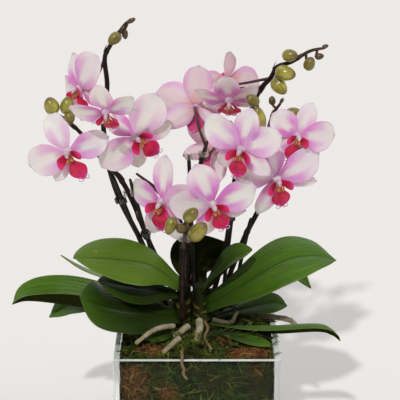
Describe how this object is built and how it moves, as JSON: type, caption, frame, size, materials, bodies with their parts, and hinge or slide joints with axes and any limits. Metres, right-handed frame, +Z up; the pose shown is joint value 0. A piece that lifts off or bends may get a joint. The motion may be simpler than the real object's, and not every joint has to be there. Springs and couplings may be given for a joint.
{
  "type": "potted orchid",
  "caption": "Potted moth orchid with pink veined flowers and green buds on staked spikes above broad glossy leaves, growing from moss packed in a clear square glass vase.",
  "frame": {"origin": "centre of the vase's underside", "axes": "+Z up; -Y is the side that most of the flowers face; X to the viewer's right"},
  "size_m": [0.2462, 0.1239, 0.3538],
  "materials": {
    "glass": "clear, polished, ground rim",
    "moss": "matte, fibrous green moss with orange-brown fibre",
    "crown": "yellow-green plant tissue",
    "leaf": "waxy green leaf with darker underside",
    "root": "silvery aerial root",
    "stem": "purple-brown flower stem with olive buds",
    "petal": "satin petal, white and lilac-pink, crimson lip",
    "stake": "black stake",
    "clip_black": "black clip",
    "clip_clear": "clear plastic clip"
  },
  "bodies": {
    "root": {"glass_vase": "glass", "moss": "moss", "crown_left": "crown", "crown_right": "crown", "leaf_left_upper": "leaf", "leaf_left_long": "leaf", "leaf_left_lower": "leaf", "leaf_left_middle": "leaf", "leaf_left_back": "leaf", "leaf_left_drooping": "leaf", "leaf_left_small": "leaf", "leaf_right_upper": "leaf", "leaf_right_back": "leaf", "leaf_right_short": "leaf", "leaf_right_long": "leaf", "leaf_right_low": "leaf", "leaf_centre_curled": "leaf", "leaf_centre_upright": "leaf", "root_left": "root", "root_stub": "root", "root_front_left": "root", "root_front": "root", "root_brown": "root", "root_right_loop": "root", "root_right_long": "root", "root_over_rim": "root", "spike_1": "stem", "spike_2": "stem", "spike_3": "stem", "spike_4": "stem", "spike_5": "stem", "spike_6": "stem", "flower_01": "petal", "flower_02": "petal", "flower_03": "petal", "flower_04": "petal", "flower_05": "petal", "flower_06": "petal", "flower_07": "petal", "flower_08": "petal", "flower_09": "petal", "flower_10": "petal", "flower_11": "petal", "flower_12": "petal", "flower_13": "petal", "stake_1": "stake", "stake_2": "stake", "stake_3": "stake", "stake_4": "stake", "stake_5": "stake", "clip_1": "clip_black", "clip_2": "clip_clear", "clip_3": "clip_black", "clip_4": "clip_clear", "clip_5": "clip_clear", "clip_6": "clip_black"}
  },
  "joints": []
}
